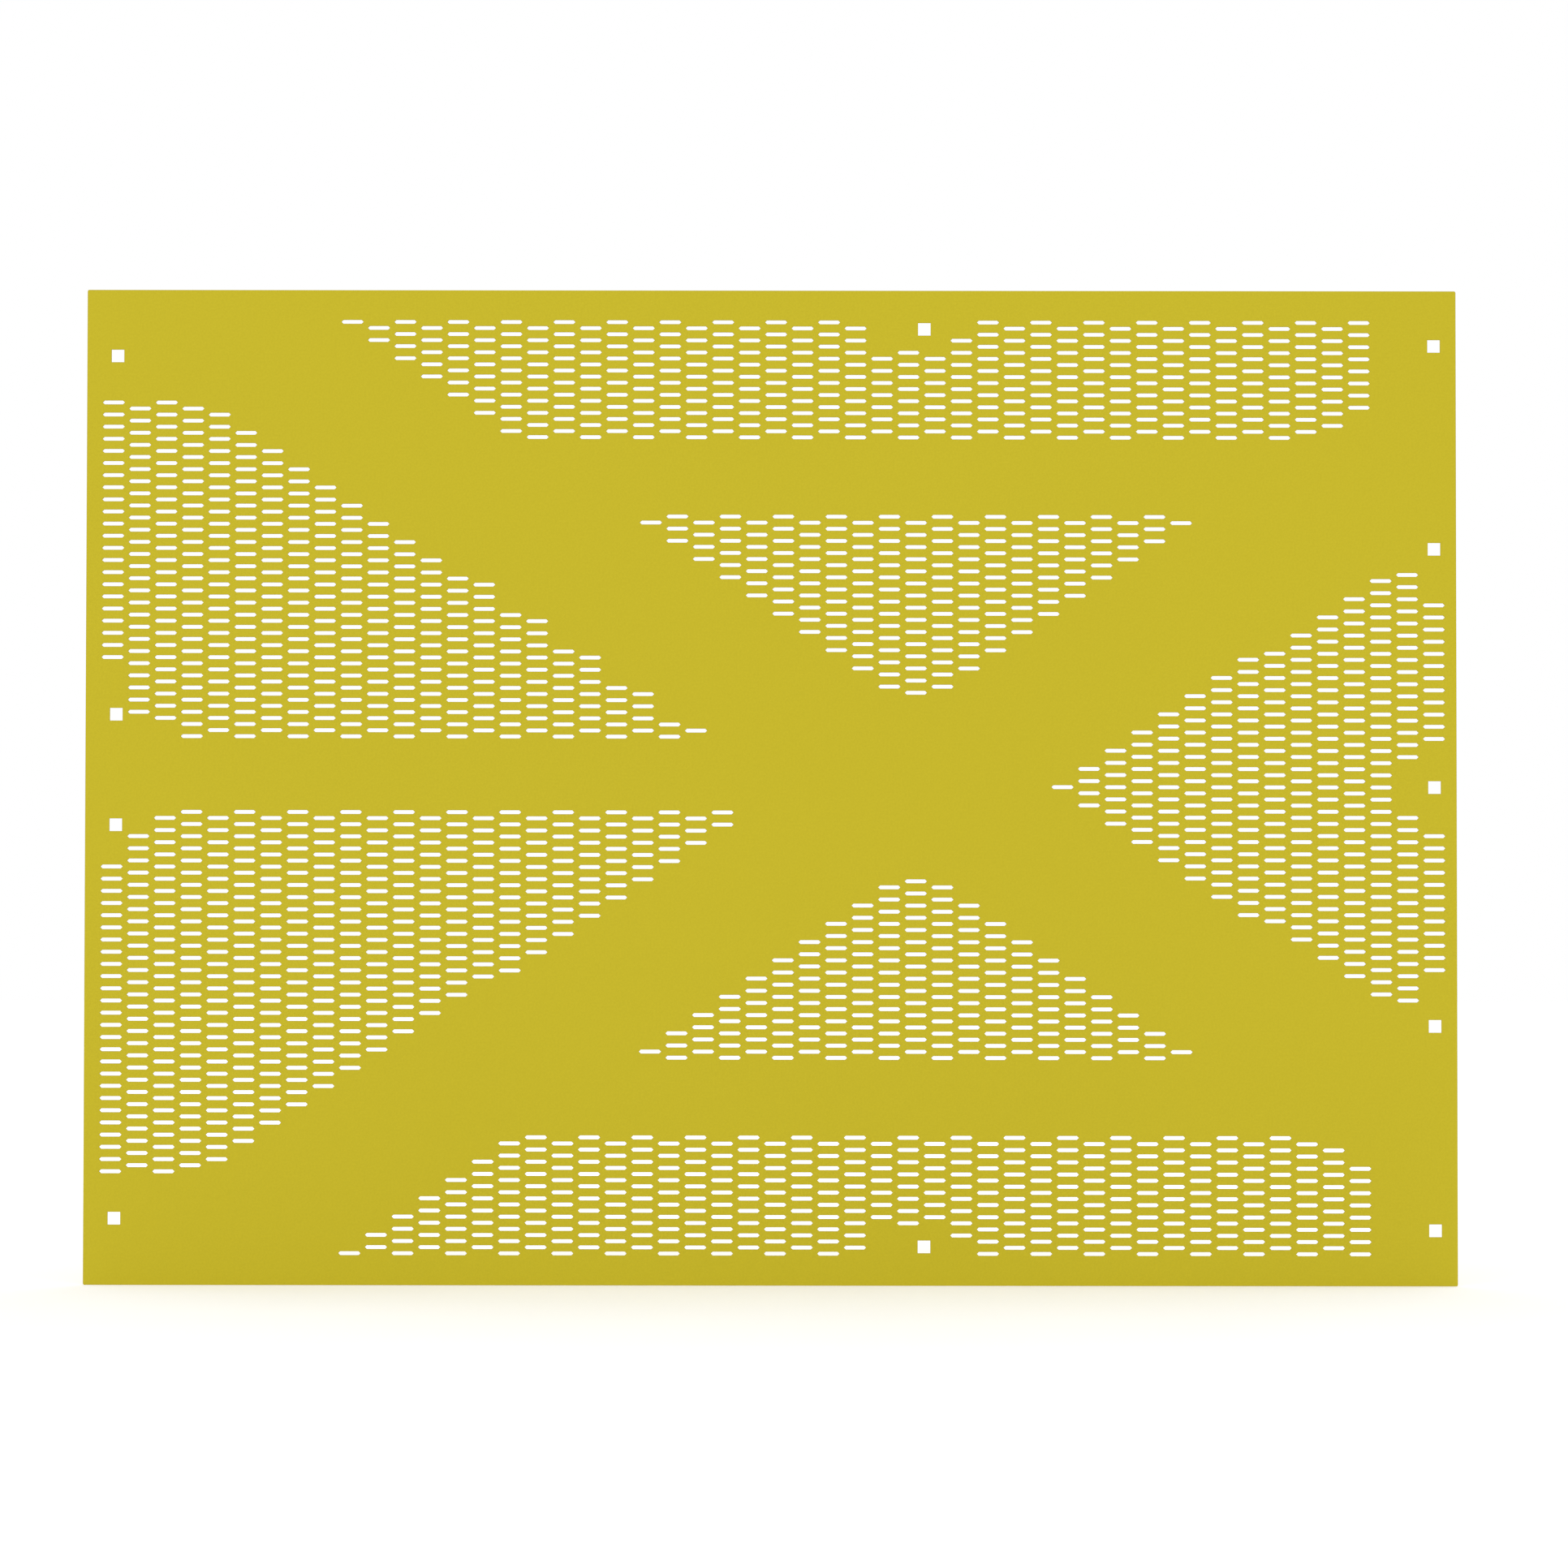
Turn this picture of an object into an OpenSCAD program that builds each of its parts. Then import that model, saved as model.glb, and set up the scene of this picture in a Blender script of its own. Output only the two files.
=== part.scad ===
// Perforated guard panel: one flat sheet of painted steel, laser cut with seven
// fields of long ventilation slots in staggered columns. Plain bands are left
// between the fields: a cross of two sloping bands that meet at a hub right of
// centre, a side arm that runs from the hub to the left edge, and a rim all round.
// The sheet is bolted down through square holes that lie in the plain bands.
//
// The sheet is one piece. It is drawn as seven sections, one for each field of
// slots, that meet face to face along the middle lines of the plain bands.
//
// Outlines and slots are drawn flat, X to the right and Y up, and each finished
// section is stood upright. The back face lies in the XZ plane, with the origin
// at the middle of the sheet, and the front face looks along -Y.

/* [Sheet] */
// Width of the sheet
sheet_w = 1240; // [1000:1:1600]
// Height of the sheet
sheet_h = 900; // [720:1:1200]
// Thickness of the sheet
sheet_t = 2; // [1:0.5:6]
// Radius of the four outer corners
corner_r = 1.5; // [0.5:0.5:20]

/* [Slots] */
// Length of a slot, tip to tip
slot_l = 20; // [10:0.5:24]
// Width of a slot
slot_w = 3.5; // [2:0.1:4.5]
// Distance from one column of slots to the next
pitch_x = 24; // [20:0.5:36]
// Distance from one slot to the next in a column
pitch_y = 11; // [9:0.1:16]

/* [Fixing holes] */
// Side of a square fixing hole
hole_side = 11.4; // [8:0.1:16]
// Right edge of the sheet to the right-hand holes
right_hole_in = 20; // [15:0.5:40]
// Middle of the sheet to the right-hand holes above and below the middle one
right_hole_step = 215.8; // [150:0.1:280]
// Top or bottom edge to the right-hand corner holes
right_corner_in = 50; // [20:0.5:80]
// Left edge of the sheet to the left-hand holes
left_hole_in = 27.7; // [15:0.1:40]
// Top or bottom edge to the left-hand corner holes
left_corner_in = 60; // [20:0.5:90]
// Height of the upper hole in the side arm above the middle of the sheet
arm_hole_up = 65; // [50:1:90]
// Depth of the lower hole in the side arm below the middle of the sheet
arm_hole_down = 35; // [25:1:60]
// Top or bottom edge to the middle holes
rim_hole_in = 35; // [20:0.5:45]
// Middle of the sheet to the middle holes, to the right
rim_hole_x = 138.5; // [100:0.5:180]

/* [Plain bands] */
// Middle of the sheet to the hub of the cross, to the right
hub_x = 131; // [80:0.5:180]
// Slope of the cross's bands
band_angle = 34; // [28:0.5:40]
// Height, up the sheet, from a band's line to the fields above and below the hub
clear_mid = 70; // [40:0.1:100]
// Height from a band's line to the right-hand field
clear_right = 87.1; // [60:0.1:120]
// Height from a band's line to the upper left field
clear_upper_left = 80.6; // [60:0.1:120]
// Further height kept plain beside every other column of the upper left field
stagger_upper_left = 4; // [0:0.1:8]
// Height from a band's line to the lower left field
clear_lower_left = 81; // [60:0.1:120]
// Width of the side arm, measured to the middle of the nearest slots
arm_w = 62; // [40:1:90]
// Height of the side arm's middle above the middle of the sheet
arm_y = 11; // [0:1:20]

/* [Slot fields] */
// Top edge to the first row of the top strip, and bottom edge to the bottom strip
strip_in = 28.75; // [20:0.05:60]
// Right edge to the last column of the top and bottom strips
strip_side = 87.8; // [60:0.1:140]
// Number of staggered rows in the top and bottom strips
strip_rows = 20; // [8:1:24]
// Top edge to the first row of the upper left field
left_in = 102.25; // [60:0.05:150]
// Left edge to the first column of the left-hand fields
left_side = 24.15; // [15:0.05:60]
// Top edge to the first row of the field above the hub
mid_in = 205.2; // [160:0.1:260]
// Least height of that field's lowest slot above the middle of the sheet
mid_low = 80; // [40:1:120]
// Right edge to the last column of the right-hand field
right_side = 20.35; // [14:0.05:60]

/* [Plain pads round the holes] */
// Half the diagonal of the diamond kept plain round a right-hand hole
right_pad = 43; // [30:0.5:60]
// Depth of the plain pad inward of a middle hole
rim_pad_in = 17; // [10:0.5:30]
// Half the width of that pad in line with the hole
rim_pad_half = 48; // [30:0.5:70]
// Width of the plain pad on the left edge, from the edge
edge_pad_w = 36; // [26:0.5:47]
// Rise of that pad above the upper hole in the side arm
edge_pad_up = 46; // [10:0.5:80]
// Fall of that pad below the lower hole in the side arm
edge_pad_down = 32; // [10:0.5:80]
// Length along the side arm over which it flares towards the left edge
flare_l = 100; // [50:1:200]
// Rise of the arm's flared upper side at the left edge
flare_up = 35; // [10:1:80]
// Fall of the arm's flared lower side at the left edge
flare_down = 28; // [10:1:80]

/* [Hidden] */
half_w = sheet_w / 2;
half_h = sheet_h / 2;
slope = tan(band_angle);
arm_top = arm_y + arm_w / 2;
arm_bottom = arm_y - arm_w / 2;
strip_depth = (strip_rows - 1) * pitch_y / 2;
// A slot's row is found by its place, so limits that follow a row lie this far past it
row_slack = pitch_y / 4;

right_hole_x = half_w - right_hole_in;
left_hole_x = left_hole_in - half_w;
right_hole_ys = [-right_hole_step, 0, right_hole_step];
hole_places = concat(
    [for (y = right_hole_ys) [right_hole_x, y]],
    [for (side = [-1, 1]) [right_hole_x, side * (half_h - right_corner_in)]],
    [for (side = [-1, 1]) [left_hole_x, side * (half_h - left_corner_in)]],
    [for (side = [-1, 1]) [rim_hole_x, side * (half_h - rim_hole_in)]],
    [[left_hole_x, arm_hole_up], [left_hole_x, -arm_hole_down]]
);

// Height of a place above the cross's band that climbs to the right, and above
// the band that falls to the right. Both bands' lines pass through the hub.
function over_climb(p) = p.y - slope * (p.x - hub_x);
function over_fall(p) = p.y + slope * (p.x - hub_x);

// Every place of a staggered grid that lies between low and high. The grid has a
// slot at the place named origin, and every other column is half a pitch higher.
function grid(origin, low, high) = [
    for (i = [ceil((low.x - origin.x) / pitch_x) : floor((high.x - origin.x) / pitch_x)])
        let (first_y = origin.y + (i % 2 == 0 ? 0 : pitch_y / 2))
        for (j = [ceil((low.y - first_y) / pitch_y) : floor((high.y - first_y) / pitch_y)])
            [origin.x + i * pitch_x, first_y + j * pitch_y]
];

// The same places turned upside down about the middle of the sheet
function upside_down(places) = [for (p = places) [p.x, -p.y]];

// The side arm's flared side at a place: how far it stands out from the straight arm
function flare(x, rise) = rise * max(0, 1 - (x + half_w) / flare_l);

// True in the plain pad round the middle hole of the rim
function in_rim_pad(p) =
    let (above_hole = p.y - (half_h - rim_hole_in))
    above_hole > -rim_pad_in && abs(p.x - hub_x) < rim_pad_half + above_hole;

// True in the plain pad on the left edge, up to the height named top
function in_edge_pad(p, top) = p.x < edge_pad_w - half_w && p.y < top;

// True in a diamond round one of the right-hand holes
function in_right_pad(p) =
    min([for (y = right_hole_ys) abs(p.x - right_hole_x) + abs(p.y - y)]) < right_pad;

// Strip of slots along the top edge
function top_strip() =
    let (origin = [half_w - strip_side, half_h - strip_in])
    let (low = [-half_w, origin.y - strip_depth - row_slack])
    [for (p = grid(origin, low, origin + [0, row_slack]))
        if (min(over_climb(p), over_fall(p)) > clear_mid && !in_rim_pad(p)) p];

// Field between the cross's upper bands
function field_above_hub() =
    let (top = half_h - mid_in)
    [for (p = grid([hub_x, top - pitch_y / 2], [-half_w, mid_low], [half_w, top + row_slack]))
        if (min(over_climb(p), over_fall(p)) > clear_mid) p];

// Field between the side arm and the band that climbs to the left
function upper_left_field() =
    let (origin = [left_side - half_w, half_h - left_in])
    [for (p = grid(origin, [origin.x, arm_top], [half_w, origin.y + row_slack]))
        let (set_back = (round((p.x - origin.x) / pitch_x) % 2) * stagger_upper_left)
        if (over_fall(p) < -clear_upper_left - set_back
            && p.y > arm_top + flare(p.x, flare_up)
            && !in_edge_pad(p, arm_hole_up + edge_pad_up)) p];

// Field between the side arm and the band that falls to the left, turned upside down
function lower_left_field() =
    let (origin = [left_side - half_w, half_h - left_in])
    [for (p = grid(origin, [origin.x, -arm_bottom], [half_w, origin.y + row_slack]))
        if (over_fall(p) < -clear_lower_left
            && p.y > -arm_bottom + flare(p.x, flare_down)
            && !in_edge_pad(p, arm_hole_down + edge_pad_down)) p];

// Field between the cross's right-hand bands
function right_field() =
    let (origin = [half_w - right_side, 0])
    [for (p = grid(origin, [hub_x, -half_h], [origin.x, half_h]))
        if (over_climb([p.x, abs(p.y)]) < -clear_right && !in_right_pad(p)) p];

// The seams between the sections start at the hub or cross the upper middle band
hub = [hub_x, 0];
reach = sheet_w + sheet_h;
arm_angle = atan2(arm_y, -half_w - hub_x);
mid_seam = half_h - (strip_in + strip_depth + mid_in) / 2;

function ray(angle) = hub + reach * [cos(angle), sin(angle)];
function on_climb(y) = [hub_x + y / slope, y];
function on_fall(y) = [hub_x - y / slope, y];

right_sector = [hub, ray(-band_angle), ray(band_angle)];
upper_middle_sector = [hub, on_climb(mid_seam), on_fall(mid_seam)];
top_sector = [on_fall(mid_seam), on_climb(mid_seam), ray(band_angle), ray(180 - band_angle)];
upper_left_sector = [hub, ray(180 - band_angle), ray(arm_angle)];
lower_left_sector = [hub, ray(arm_angle), ray(180 + band_angle)];

// One slot: straight sides and a square point at each end
module slot() {
    shoulder = (slot_l - slot_w) / 2;
    polygon([
        [-slot_l / 2, 0], [-shoulder, -slot_w / 2], [shoulder, -slot_w / 2],
        [slot_l / 2, 0], [shoulder, slot_w / 2], [-shoulder, slot_w / 2]
    ]);
}

// What rounding takes off the sheet's top right corner
module corner_waste() {
    translate([half_w - corner_r, half_h - corner_r])
        difference() {
            square(2 * corner_r);
            circle(corner_r, $fn = 32);
        }
}

// The sheet inside one sector, with its fixing holes and the slots at the given places
module section(sector, slot_places) {
    color("#c7b72d") rotate([90, 0, 0]) linear_extrude(sheet_t) difference() {
        intersection() {
            square([sheet_w, sheet_h], center = true);
            polygon(sector);
        }
        for (flip_x = [0, 1], flip_y = [0, 1])
            mirror([flip_x, 0]) mirror([0, flip_y]) corner_waste();
        for (place = hole_places)
            translate(place) square(hole_side, center = true);
        for (place = slot_places)
            translate(place) slot();
    }
}

module top_section() section(top_sector, top_strip());

module upper_middle_section() section(upper_middle_sector, field_above_hub());

module upper_left_section() section(upper_left_sector, upper_left_field());

module right_section() section(right_sector, right_field());

module lower_left_section() section(lower_left_sector, upside_down(lower_left_field()));

module lower_middle_section()
    section(upside_down(upper_middle_sector), upside_down(field_above_hub()));

module bottom_section() section(upside_down(top_sector), upside_down(top_strip()));

top_section();
upper_middle_section();
upper_left_section();
right_section();
lower_left_section();
lower_middle_section();
bottom_section();
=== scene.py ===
"""Looks of the perforated guard panel: one painted sheet with seven fields of slots.

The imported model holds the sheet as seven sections. Its size, slots and fixing holes
are read from them, and one seamless sheet with rounded edges is built in their
place. Everything is in metres, in the model's own frame: X to the right, Z up, and
the front face looking along -Y.
"""

import math

import bmesh
import bpy
from mathutils import Matrix, Vector
from mathutils.geometry import delaunay_2d_cdt

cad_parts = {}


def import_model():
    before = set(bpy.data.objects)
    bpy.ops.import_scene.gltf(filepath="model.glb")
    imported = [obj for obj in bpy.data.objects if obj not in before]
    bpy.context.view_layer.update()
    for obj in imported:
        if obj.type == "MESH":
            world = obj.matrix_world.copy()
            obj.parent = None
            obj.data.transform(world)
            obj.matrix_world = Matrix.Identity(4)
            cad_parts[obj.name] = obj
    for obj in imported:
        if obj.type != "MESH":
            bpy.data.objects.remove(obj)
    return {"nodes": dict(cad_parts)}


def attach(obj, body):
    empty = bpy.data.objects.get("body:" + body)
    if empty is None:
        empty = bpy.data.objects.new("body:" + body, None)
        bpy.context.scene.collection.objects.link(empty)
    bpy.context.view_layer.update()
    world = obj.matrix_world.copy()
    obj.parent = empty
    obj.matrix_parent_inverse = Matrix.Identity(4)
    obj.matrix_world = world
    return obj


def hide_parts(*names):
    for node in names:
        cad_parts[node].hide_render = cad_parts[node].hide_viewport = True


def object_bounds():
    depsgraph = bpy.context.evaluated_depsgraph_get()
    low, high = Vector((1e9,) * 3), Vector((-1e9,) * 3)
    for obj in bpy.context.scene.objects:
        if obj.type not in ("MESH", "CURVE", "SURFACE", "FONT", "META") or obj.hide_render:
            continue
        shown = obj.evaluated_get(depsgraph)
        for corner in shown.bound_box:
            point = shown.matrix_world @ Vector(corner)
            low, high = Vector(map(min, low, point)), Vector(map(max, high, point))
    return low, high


BODY = "root"
PIECE = "guard_panel_sheet"

# The photograph's camera: a long lens, a little below the middle of the sheet
LENS_MM = 120
SENSOR_MM = 36
CAMERA_DISTANCE = 4.7236
CAMERA_RIGHT = 0.01176
CAMERA_DROP = 0.13348
CAMERA_PITCH = math.radians(1.6492)
CAMERA_ROLL = math.radians(0.06658)
CLIP_START = 0.05
CLIP_END = 200

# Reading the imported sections: corners are matched on a grid of a hundredth of a millimetre
GRID_PER_METRE = 1e5
FRONT_TOLERANCE = 1e-6
# A loop on a section's front face that is larger than this is the section's own outline
LARGEST_CUT_OUT = 0.05
# A cut-out more than this many times as wide as it is high is a slot, not a fixing hole
SLOT_RATIO = 2

# The sheet's four outer corners are rounded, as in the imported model
CORNER_RADIUS = 0.0015
CORNER_STEPS = 6

# Paint builds up round every cut edge of the sheet, and rounds it
EDGE_RADIUS = 0.0003
EDGE_STEPS = 2

# How the flat faces are filled: every triangle of the convex outline, and the least gap of two corners
HULL_TRIANGLES = 0
CORNER_GAP = 1e-7
# Where a flat face meets a rounded edge, the larger face alone decides the shading
FACE_AREA_WEIGHT = 100

FACE_MATERIAL = 0
EDGE_MATERIAL = 1

# Where on the 0 to 1 range of a noise a drift of tone starts and ends
TONE_FROM = 0.3
TONE_TO = 0.7

# Mustard yellow powder coat: a slow drift of tone, and an orange peel in painted light and shade
PAINT_LIGHT = (0.536, 0.444, 0.0055)
PAINT_DARK = (0.521, 0.430, 0.0040)
DRIFT_SCALE = 2.2
# The peel's two tones are painted light on the tops of its bumps and painted shade in its pits
PEEL_TOP_PAINTED_LIGHT = (0.554, 0.459, 0.0073)
PEEL_PIT_PAINTED_SHADE = (0.490, 0.403, 0.0025)
PEEL_PAINTED_SHADE_SHARE = 0.45
PEEL_WIDTH = 0.0018
PEEL_DEPTH = 0.00003
PAINT_ROUGHNESS = (0.40, 0.52)
PAINT_ROUGHNESS_SCALE = 35
PAINT_SPECULAR = 0.28

# A large sheet is never quite flat: a slow wave in its shading
WAVE_SCALE = 3.0
WAVE_DEPTH = 0.0015
WAVE_STRENGTH = 0.16

# The same paint over a laser-cut edge: a little darker, with faint cutting lines through the sheet
EDGE_PAINT = (0.482, 0.391, 0.0045)
EDGE_PAINT_DARK = (0.424, 0.340, 0.0035)
EDGE_DRIFT_SCALE = 260
EDGE_ROUGHNESS = (0.48, 0.62)
EDGE_ROUGHNESS_SCALE = 500
EDGE_SPECULAR = 0.3
CUT_LINE_SCALES = (2500, 120, 2500)
CUT_LINE_DEPTH = 0.00003
CUT_LINE_STRENGTH = 0.6

# The floor is matt white with a faint grain, and its glow keeps the sheet's shadow faint
WHITE = (1, 1, 1, 1)
FLOOR_SIZE = 40.0
FLOOR_WHITE = (0.90, 0.90, 0.90)
FLOOR_GRAIN = 0.985
FLOOR_GRAIN_SCALE = 6.0
FLOOR_ROUGHNESS = 0.9
FLOOR_GLOW = 0.18

# Even white light from all round, and three weak softboxes: name, place and power in watts
WORLD_STRENGTH = 1.0
SOFTBOX_SIZE = 3.0
SOFTBOXES = (
    ("key", (-2.6, -4.2, 2.6), 12),
    ("fill", (3.2, -3.6, 1.2), 6),
    ("back", (0.8, 3.6, 2.4), 12),
)


# ---------------------------------------------------------------- reading the frame


def front_polygons(mesh, front_y):
    """The polygons of a section that lie on its front face."""
    on_front = [abs(v.co.y - front_y) < FRONT_TOLERANCE for v in mesh.vertices]
    return [p for p in mesh.polygons if all(on_front[i] for i in p.vertices)]


def rim_edges(mesh, front_y):
    """Edges that bound the front face, each as two (x, z) corners in steps of the grid."""
    uses = {}
    for polygon in front_polygons(mesh, front_y):
        corners = [mesh.vertices[i].co for i in polygon.vertices]
        keys = [(round(c.x * GRID_PER_METRE), round(c.z * GRID_PER_METRE)) for c in corners]
        for a, b in zip(keys, keys[1:] + keys[:1]):
            edge = (min(a, b), max(a, b))
            uses[edge] = uses.get(edge, 0) + 1
    return [edge for edge, count in uses.items() if count == 1]


def loops_of(edges):
    """The closed loops that the edges form, each as the set of its corners."""
    neighbours = {}
    for a, b in edges:
        neighbours.setdefault(a, []).append(b)
        neighbours.setdefault(b, []).append(a)
    loops = []
    left = set(neighbours)
    while left:
        loop = set()
        waiting = [left.pop()]
        while waiting:
            corner = waiting.pop()
            loop.add(corner)
            found = [c for c in neighbours[corner] if c in left]
            left.difference_update(found)
            waiting.extend(found)
        loops.append(loop)
    return loops


def box_of(loop):
    """Middle and size of a loop, in metres, as ((x, z), (width, height))."""
    xs = [x / GRID_PER_METRE for x, _ in loop]
    zs = [z / GRID_PER_METRE for _, z in loop]
    middle = ((min(xs) + max(xs)) / 2, (min(zs) + max(zs)) / 2)
    return middle, (max(xs) - min(xs), max(zs) - min(zs))


def cut_outs(nodes, front_y):
    """Every slot and fixing hole of the sheet: two lists of (middle, size)."""
    slots, holes = [], []
    for name in sorted(nodes):
        for loop in loops_of(rim_edges(nodes[name].data, front_y)):
            middle, size = box_of(loop)
            if max(size) > LARGEST_CUT_OUT:
                continue
            kind = slots if size[0] > SLOT_RATIO * size[1] else holes
            kind.append((middle, size))
    return sorted(slots), sorted(holes)


# ---------------------------------------------------------------- building the sheet


def slot_ring(middle, size, grow):
    """A slot's outline, moved outward by grow: straight sides and a square point at each end."""
    half_w = size[1] / 2 + grow
    half_l = size[0] / 2 + grow * math.sqrt(2)
    shoulder = half_l - half_w
    x, z = middle
    points = [
        (half_l, 0),
        (shoulder, half_w),
        (-shoulder, half_w),
        (-half_l, 0),
        (-shoulder, -half_w),
        (shoulder, -half_w),
    ]
    return [(x + px, z + pz) for px, pz in points]


def hole_ring(middle, size, grow):
    """A square fixing hole's outline, moved outward by grow."""
    half = size[0] / 2 + grow
    x, z = middle
    signs = ((1, -1), (1, 1), (-1, 1), (-1, -1))
    return [(x + sx * half, z + sz * half) for sx, sz in signs]


def outline_ring(middle, size, grow):
    """The sheet's outline with its rounded corners, moved inward by grow."""
    x, z = middle
    radius = CORNER_RADIUS - grow
    along = size[0] / 2 - CORNER_RADIUS
    up = size[1] / 2 - CORNER_RADIUS
    points = []
    for quarter, (sx, sz) in enumerate(((1, 1), (-1, 1), (-1, -1), (1, -1))):
        for step in range(CORNER_STEPS + 1):
            turn = math.pi / 2 * (quarter + step / CORNER_STEPS)
            out_x = sx * along + radius * math.cos(turn)
            out_z = sz * up + radius * math.sin(turn)
            points.append((x + out_x, z + out_z))
    return points


def edge_profile(thickness):
    """Where the rings of a cut edge lie, as (how far the ring is moved, its depth from the front)."""
    turns = [math.pi / 2 * step / EDGE_STEPS for step in range(EDGE_STEPS + 1)]
    front = [(EDGE_RADIUS * (1 - math.sin(t)), EDGE_RADIUS * (1 - math.cos(t))) for t in turns]
    return front + [(grow, thickness - depth) for grow, depth in reversed(front)]


def cap_triangles(rings):
    """Triangles that fill the flat face between its outline, the first ring, and the cut-outs.

    A triangle with all its corners on one cut-out lies inside that cut-out, and is left out.
    """
    corners, edges, ring_of = [], [], []
    for number, ring in enumerate(rings):
        first, count = len(corners), len(ring)
        corners += [Vector(p) for p in ring]
        edges += [(first + i, first + (i + 1) % count) for i in range(count)]
        ring_of += [number] * count
    _, _, made, origins, _, _ = delaunay_2d_cdt(corners, edges, [], HULL_TRIANGLES, CORNER_GAP)
    triangles = [[origins[i][0] for i in triangle] for triangle in made]
    return [t for t in triangles if ring_of[t[0]] == 0 or len({ring_of[i] for i in t}) > 1]


def build_sheet(box, slots, holes):
    """One mesh of the whole sheet, its cut edges rounded at both faces."""
    low, high = box
    thickness = high.y - low.y
    middle = ((low.x + high.x) / 2, (low.z + high.z) / 2)
    size = (high.x - low.x, high.z - low.z)
    shapes = [(outline_ring, middle, size)]
    shapes += [(hole_ring, m, s) for m, s in holes]
    shapes += [(slot_ring, m, s) for m, s in slots]
    profile = edge_profile(thickness)

    sheet = bmesh.new()
    first_rings, last_rings = [], []
    for shape, m, s in shapes:
        rings = []
        for grow, depth in profile:
            points = shape(m, s, grow)
            rings.append([sheet.verts.new((x, low.y + depth, z)) for x, z in points])
        add_cut_edge(sheet, rings, shape is not outline_ring)
        first_rings.append(rings[0])
        last_rings.append(rings[-1])
    add_caps(sheet, first_rings, last_rings)
    bmesh.ops.recalc_face_normals(sheet, faces=sheet.faces)
    mesh = bpy.data.meshes.new(PIECE)
    sheet.to_mesh(mesh)
    sheet.free()
    return mesh


def add_cut_edge(sheet, rings, crisp):
    """The wall of one outline, slot or hole, from its front ring to its back one.

    A crisp wall keeps its corners sharp in the shading.
    """
    for near, far in zip(rings, rings[1:]):
        count = len(near)
        for i in range(count):
            j = (i + 1) % count
            face = sheet.faces.new((near[i], near[j], far[j], far[i]))
            face.material_index = EDGE_MATERIAL
            face.smooth = True
        for corner in zip(near, far):
            sheet.edges.get(corner).smooth = not crisp


def add_caps(sheet, front_rings, back_rings):
    """The front and back faces. Both have the same triangles, since their rings match."""
    triangles = cap_triangles([[(v.co.x, v.co.z) for v in ring] for ring in front_rings])
    for rings in (front_rings, back_rings):
        corners = [v for ring in rings for v in ring]
        for triangle in triangles:
            face = sheet.faces.new([corners[i] for i in triangle])
            face.material_index = FACE_MATERIAL
            face.smooth = True


def keep_faces_flat(piece):
    """Keeps the flat faces flat in the shading where they meet their rounded edges."""
    weighted = piece.modifiers.new("flat_faces", "WEIGHTED_NORMAL")
    weighted.mode = "FACE_AREA"
    weighted.weight = FACE_AREA_WEIGHT
    weighted.keep_sharp = True


# ---------------------------------------------------------------- materials


class Paint:
    """A small helper that adds nodes to one material and links them."""

    def __init__(self, name):
        self.material = bpy.data.materials.new(name)
        self.material.use_nodes = True
        self.tree = self.material.node_tree
        self.shader = self.tree.nodes["Principled BSDF"]
        self.place = self.add("ShaderNodeTexCoord").outputs["Object"]

    def add(self, kind, **settings):
        node = self.tree.nodes.new(kind)
        for name, value in settings.items():
            setattr(node, name, value)
        return node

    def link(self, output, target):
        self.tree.links.new(output, target)

    def feed(self, name, output):
        """Links a pattern to one of the shader's own inputs."""
        self.link(output, self.shader.inputs[name])

    def noise(self, scale, detail, roughness=0.5, place=None):
        """A noise pattern whose features are about one over scale metres wide."""
        node = self.add("ShaderNodeTexNoise")
        node.inputs["Scale"].default_value = scale
        node.inputs["Detail"].default_value = detail
        node.inputs["Roughness"].default_value = roughness
        self.link(place or self.place, node.inputs["Vector"])
        return node.outputs["Fac"]

    def stretched(self, scales):
        """The place on the piece, scaled by its own factor along each axis."""
        node = self.add("ShaderNodeVectorMath", operation="MULTIPLY")
        node.inputs[1].default_value = scales
        self.link(self.place, node.inputs[0])
        return node.outputs["Vector"]

    def ramp(self, value, low, high):
        """Turns a 0 to 1 pattern into a drift from one colour to another."""
        node = self.add("ShaderNodeValToRGB")
        node.color_ramp.elements[0].position = TONE_FROM
        node.color_ramp.elements[0].color = (*low, 1)
        node.color_ramp.elements[1].position = TONE_TO
        node.color_ramp.elements[1].color = (*high, 1)
        self.link(value, node.inputs["Fac"])
        return node.outputs["Color"]

    def mix(self, share, a, b):
        """Mixes two colours by a fixed share."""
        node = self.add("ShaderNodeMix", data_type="RGBA")
        node.inputs["Factor"].default_value = share
        self.link(a, node.inputs["A"])
        self.link(b, node.inputs["B"])
        return node.outputs["Result"]

    def span(self, value, low, high):
        """Maps a 0 to 1 pattern to the range from low to high."""
        node = self.add("ShaderNodeMapRange")
        node.inputs["To Min"].default_value = low
        node.inputs["To Max"].default_value = high
        self.link(value, node.inputs["Value"])
        return node.outputs["Result"]

    def bump(self, height, distance, strength, below=None):
        """A bump of a given depth in metres, on top of another one if below is given."""
        node = self.add("ShaderNodeBump")
        node.inputs["Distance"].default_value = distance
        node.inputs["Strength"].default_value = strength
        self.link(height, node.inputs["Height"])
        if below is not None:
            self.link(below, node.inputs["Normal"])
        return node.outputs["Normal"]


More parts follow.
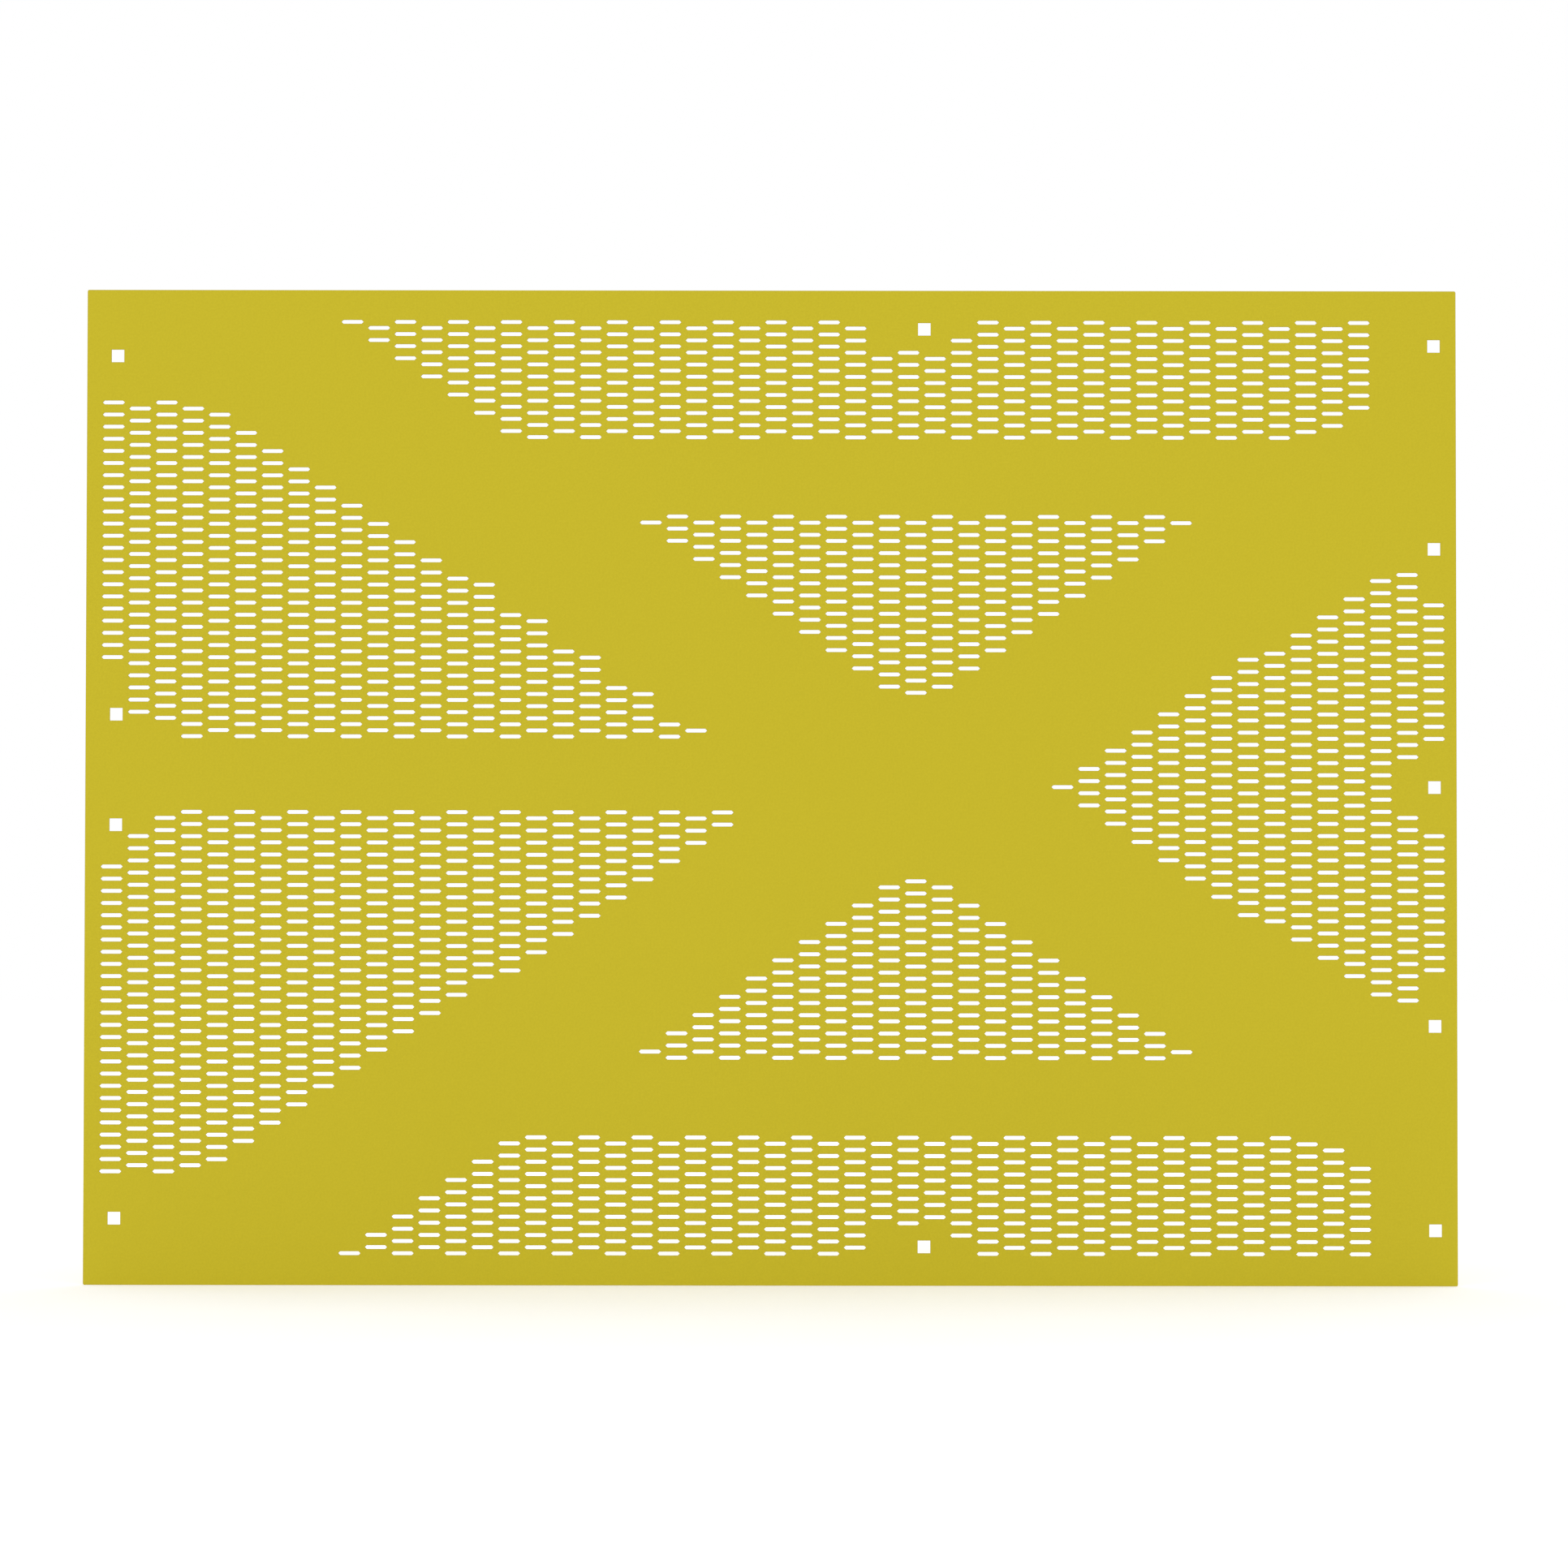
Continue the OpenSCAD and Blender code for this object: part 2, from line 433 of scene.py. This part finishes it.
def powder_coat():
    """Semi-matt powder coat: slow drift of tone, fine orange peel in height and in painted light and
    shade.
    """
    paint = Paint("yellow_powder_coat")
    drift = paint.ramp(paint.noise(DRIFT_SCALE, detail=2.0), PAINT_DARK, PAINT_LIGHT)
    peel_height = paint.noise(1 / PEEL_WIDTH, detail=2.0, roughness=0.4)
    # The peel's tone is painted light and shade that follows its bump: lighter tops, darker pits
    peel_painted_shade = paint.ramp(peel_height, PEEL_PIT_PAINTED_SHADE, PEEL_TOP_PAINTED_LIGHT)
    paint.feed("Base Color", paint.mix(PEEL_PAINTED_SHADE_SHARE, drift, peel_painted_shade))
    gloss = paint.noise(PAINT_ROUGHNESS_SCALE, detail=4.0)
    paint.feed("Roughness", paint.span(gloss, *PAINT_ROUGHNESS))
    wave = paint.bump(paint.noise(WAVE_SCALE, detail=1.0), WAVE_DEPTH, WAVE_STRENGTH)
    paint.feed("Normal", paint.bump(peel_height, PEEL_DEPTH, 1.0, below=wave))
    paint.shader.inputs["Specular IOR Level"].default_value = PAINT_SPECULAR
    return paint.material


def cut_edge_coat():
    """The paint on a laser-cut edge."""
    paint = Paint("yellow_powder_coat_cut_edge")
    drift = paint.noise(EDGE_DRIFT_SCALE, detail=3.0)
    paint.feed("Base Color", paint.ramp(drift, EDGE_PAINT_DARK, EDGE_PAINT))
    gloss = paint.noise(EDGE_ROUGHNESS_SCALE, detail=2.0)
    paint.feed("Roughness", paint.span(gloss, *EDGE_ROUGHNESS))
    lines = paint.noise(1.0, detail=2.0, place=paint.stretched(CUT_LINE_SCALES))
    paint.feed("Normal", paint.bump(lines, CUT_LINE_DEPTH, CUT_LINE_STRENGTH))
    paint.shader.inputs["Specular IOR Level"].default_value = EDGE_SPECULAR
    return paint.material


def floor_material():
    """Matt white with a faint grain."""
    paint = Paint("pale_floor")
    grain = paint.noise(FLOOR_GRAIN_SCALE, detail=2.0)
    low = tuple(FLOOR_GRAIN * c for c in FLOOR_WHITE)
    paint.feed("Base Color", paint.ramp(grain, low, FLOOR_WHITE))
    paint.shader.inputs["Roughness"].default_value = FLOOR_ROUGHNESS
    paint.shader.inputs["Specular IOR Level"].default_value = 0.0
    paint.shader.inputs["Emission Color"].default_value = WHITE
    paint.shader.inputs["Emission Strength"].default_value = FLOOR_GLOW
    return paint.material


# ---------------------------------------------------------------- stage, light, camera


def add_floor(height):
    """A wide floor at the foot of the sheet."""
    half = FLOOR_SIZE / 2
    signs = ((-1, -1), (1, -1), (1, 1), (-1, 1))
    corners = [(sx * half, sy * half, height) for sx, sy in signs]
    mesh = bpy.data.meshes.new("floor")
    mesh.from_pydata(corners, [], [(0, 1, 2, 3)])
    mesh.materials.append(floor_material())
    floor = bpy.data.objects.new("floor", mesh)
    bpy.context.scene.collection.objects.link(floor)


def add_softbox(name, place, target, power):
    """A large square light that looks at a point."""
    light = bpy.data.lights.new(name, "AREA")
    light.shape = "SQUARE"
    light.size = SOFTBOX_SIZE
    light.energy = power
    lamp = bpy.data.objects.new(name, light)
    lamp.location = place
    lamp.rotation_mode = "QUATERNION"
    lamp.rotation_quaternion = (target - Vector(place)).to_track_quat("-Z", "Y")
    bpy.context.scene.collection.objects.link(lamp)


def add_world():
    """Even white light from all round."""
    world = bpy.data.worlds.new("studio")
    world.use_nodes = True
    background = world.node_tree.nodes["Background"]
    background.inputs["Color"].default_value = WHITE
    background.inputs["Strength"].default_value = WORLD_STRENGTH
    bpy.context.scene.world = world


def add_camera(middle):
    """The photograph's camera, placed from the middle of the sheet's front face."""
    data = bpy.data.cameras.new("camera")
    data.lens = LENS_MM
    data.sensor_width = SENSOR_MM
    data.clip_start = CLIP_START
    data.clip_end = CLIP_END
    camera = bpy.data.objects.new("camera", data)
    place = middle + Vector((CAMERA_RIGHT, -CAMERA_DISTANCE, -CAMERA_DROP))
    pitch = Matrix.Rotation(math.pi / 2 + CAMERA_PITCH, 4, "X")
    roll = Matrix.Rotation(CAMERA_ROLL, 4, "Z")
    camera.matrix_world = Matrix.Translation(place) @ (pitch @ roll)
    bpy.context.scene.collection.objects.link(camera)
    bpy.context.scene.camera = camera


def main():
    """Builds the sheet, its stage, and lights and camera."""
    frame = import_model()
    cad_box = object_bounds()
    low, high = cad_box

    slots, holes = cut_outs(frame["nodes"], low.y)
    sheet = bpy.data.objects.new(PIECE, build_sheet(cad_box, slots, holes))
    bpy.context.scene.collection.objects.link(sheet)
    sheet.data.materials.append(powder_coat())
    sheet.data.materials.append(cut_edge_coat())
    keep_faces_flat(sheet)
    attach(sheet, BODY)
    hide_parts(*frame["nodes"])

    add_floor(low.z)
    add_world()
    front_middle = Vector(((low.x + high.x) / 2, low.y, (low.z + high.z) / 2))
    for name, place, power in SOFTBOXES:
        add_softbox(name, place, front_middle, power)
    add_camera(front_middle)
    bpy.context.scene.view_settings.view_transform = "Standard"

    print("slots", len(slots), "holes", len(holes), "faces", len(sheet.data.polygons))


main()
